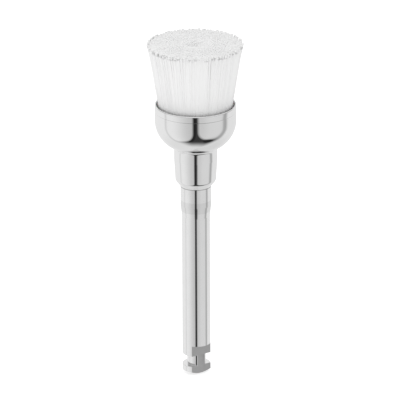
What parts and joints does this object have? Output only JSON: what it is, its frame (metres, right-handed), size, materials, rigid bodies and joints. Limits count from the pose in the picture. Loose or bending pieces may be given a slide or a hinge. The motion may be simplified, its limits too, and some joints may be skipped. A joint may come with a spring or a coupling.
{
  "type": "prophylaxis brush",
  "caption": "Cup-shaped dental polishing brush: flaring white nylon bristles in a round polished metal cup, on a slim latch-type shank with a groove and a driving flat.",
  "frame": {"origin": "tip of the shank's domed latch end, on the shank axis", "axes": "+Z along the shank to the bristle ends, -Y out of the latch flat, +X completes a right-handed frame"},
  "size_m": [0.008, 0.008, 0.0292],
  "materials": {
    "shank_steel": "turned and polished stainless steel",
    "cup_plate": "drawn sheet metal, mirror bright plating",
    "washer_steel": "plain stamped steel",
    "ring_wire": "drawn steel wire",
    "adhesive": "cured clear adhesive",
    "root_nylon": "nylon filaments set in adhesive",
    "bristle_nylon": "translucent white nylon filaments, cut square"
  },
  "bodies": {
    "brush_body": {"latch_shank": "shank_steel", "brush_cup": "cup_plate", "retaining_washer": "washer_steel", "floor_adhesive": "adhesive", "anchor_ring": "ring_wire", "bristle_roots": "root_nylon"},
    "tuft_01": {"tuft_01": "bristle_nylon"},
    "tuft_02": {"tuft_02": "bristle_nylon"},
    "tuft_03": {"tuft_03": "bristle_nylon"},
    "tuft_04": {"tuft_04": "bristle_nylon"},
    "tuft_05": {"tuft_05": "bristle_nylon"},
    "tuft_06": {"tuft_06": "bristle_nylon"},
    "tuft_07": {"tuft_07": "bristle_nylon"},
    "tuft_08": {"tuft_08": "bristle_nylon"},
    "tuft_09": {"tuft_09": "bristle_nylon"},
    "tuft_10": {"tuft_10": "bristle_nylon"},
    "tuft_11": {"tuft_11": "bristle_nylon"},
    "tuft_12": {"tuft_12": "bristle_nylon"},
    "tuft_13": {"tuft_13": "bristle_nylon"},
    "tuft_14": {"tuft_14": "bristle_nylon"},
    "tuft_15": {"tuft_15": "bristle_nylon"},
    "tuft_16": {"tuft_16": "bristle_nylon"},
    "tuft_17": {"tuft_17": "bristle_nylon"},
    "tuft_18": {"tuft_18": "bristle_nylon"}
  },
  "joints": [
    {"name": "tuft_01_flex", "type": "hinge", "parent": "brush_body", "child": "tuft_01", "pos_m": [0.00302, 0, 0.02337], "axis": [0, 1, 0], "range_deg": [0, 10], "stiffness_Nm_per_rad": 0.0026},
    {"name": "tuft_02_flex", "type": "hinge", "parent": "brush_body", "child": "tuft_02", "pos_m": [0.00284, 0.00103, 0.02337], "axis": [-0.342, 0.9397, 0], "range_deg": [0, 10], "stiffness_Nm_per_rad": 0.0026},
    {"name": "tuft_03_flex", "type": "hinge", "parent": "brush_body", "child": "tuft_03", "pos_m": [0.00231, 0.00194, 0.02337], "axis": [-0.6428, 0.766, 0], "range_deg": [0, 10], "stiffness_Nm_per_rad": 0.0026},
    {"name": "tuft_04_flex", "type": "hinge", "parent": "brush_body", "child": "tuft_04", "pos_m": [0.00151, 0.00261, 0.02337], "axis": [-0.866, 0.5, 0], "range_deg": [0, 10], "stiffness_Nm_per_rad": 0.0026},
    {"name": "tuft_05_flex", "type": "hinge", "parent": "brush_body", "child": "tuft_05", "pos_m": [0.00052, 0.00297, 0.02337], "axis": [-0.9848, 0.1736, 0], "range_deg": [0, 10], "stiffness_Nm_per_rad": 0.0026},
    {"name": "tuft_06_flex", "type": "hinge", "parent": "brush_body", "child": "tuft_06", "pos_m": [-0.00052, 0.00297, 0.02337], "axis": [-0.9848, -0.1736, 0], "range_deg": [0, 10], "stiffness_Nm_per_rad": 0.0026},
    {"name": "tuft_07_flex", "type": "hinge", "parent": "brush_body", "child": "tuft_07", "pos_m": [-0.00151, 0.00261, 0.02337], "axis": [-0.866, -0.5, 0], "range_deg": [0, 10], "stiffness_Nm_per_rad": 0.0026},
    {"name": "tuft_08_flex", "type": "hinge", "parent": "brush_body", "child": "tuft_08", "pos_m": [-0.00231, 0.00194, 0.02337], "axis": [-0.6428, -0.766, 0], "range_deg": [0, 10], "stiffness_Nm_per_rad": 0.0026},
    {"name": "tuft_09_flex", "type": "hinge", "parent": "brush_body", "child": "tuft_09", "pos_m": [-0.00284, 0.00103, 0.02337], "axis": [-0.342, -0.9397, 0], "range_deg": [0, 10], "stiffness_Nm_per_rad": 0.0026},
    {"name": "tuft_10_flex", "type": "hinge", "parent": "brush_body", "child": "tuft_10", "pos_m": [-0.00302, 0, 0.02337], "axis": [0, -1, 0], "range_deg": [0, 10], "stiffness_Nm_per_rad": 0.0026},
    {"name": "tuft_11_flex", "type": "hinge", "parent": "brush_body", "child": "tuft_11", "pos_m": [-0.00284, -0.00103, 0.02337], "axis": [0.342, -0.9397, 0], "range_deg": [0, 10], "stiffness_Nm_per_rad": 0.0026},
    {"name": "tuft_12_flex", "type": "hinge", "parent": "brush_body", "child": "tuft_12", "pos_m": [-0.00231, -0.00194, 0.02337], "axis": [0.6428, -0.766, 0], "range_deg": [0, 10], "stiffness_Nm_per_rad": 0.0026},
    {"name": "tuft_13_flex", "type": "hinge", "parent": "brush_body", "child": "tuft_13", "pos_m": [-0.00151, -0.00261, 0.02337], "axis": [0.866, -0.5, 0], "range_deg": [0, 10], "stiffness_Nm_per_rad": 0.0026},
    {"name": "tuft_14_flex", "type": "hinge", "parent": "brush_body", "child": "tuft_14", "pos_m": [-0.00052, -0.00297, 0.02337], "axis": [0.9848, -0.1736, 0], "range_deg": [0, 10], "stiffness_Nm_per_rad": 0.0026},
    {"name": "tuft_15_flex", "type": "hinge", "parent": "brush_body", "child": "tuft_15", "pos_m": [0.00052, -0.00297, 0.02337], "axis": [0.9848, 0.1736, 0], "range_deg": [0, 10], "stiffness_Nm_per_rad": 0.0026},
    {"name": "tuft_16_flex", "type": "hinge", "parent": "brush_body", "child": "tuft_16", "pos_m": [0.00151, -0.00261, 0.02337], "axis": [0.866, 0.5, 0], "range_deg": [0, 10], "stiffness_Nm_per_rad": 0.0026},
    {"name": "tuft_17_flex", "type": "hinge", "parent": "brush_body", "child": "tuft_17", "pos_m": [0.00231, -0.00194, 0.02337], "axis": [0.6428, 0.766, 0], "range_deg": [0, 10], "stiffness_Nm_per_rad": 0.0026},
    {"name": "tuft_18_flex", "type": "hinge", "parent": "brush_body", "child": "tuft_18", "pos_m": [0.00284, -0.00103, 0.02337], "axis": [0.342, 0.9397, 0], "range_deg": [0, 10], "stiffness_Nm_per_rad": 0.0026}
  ]
}
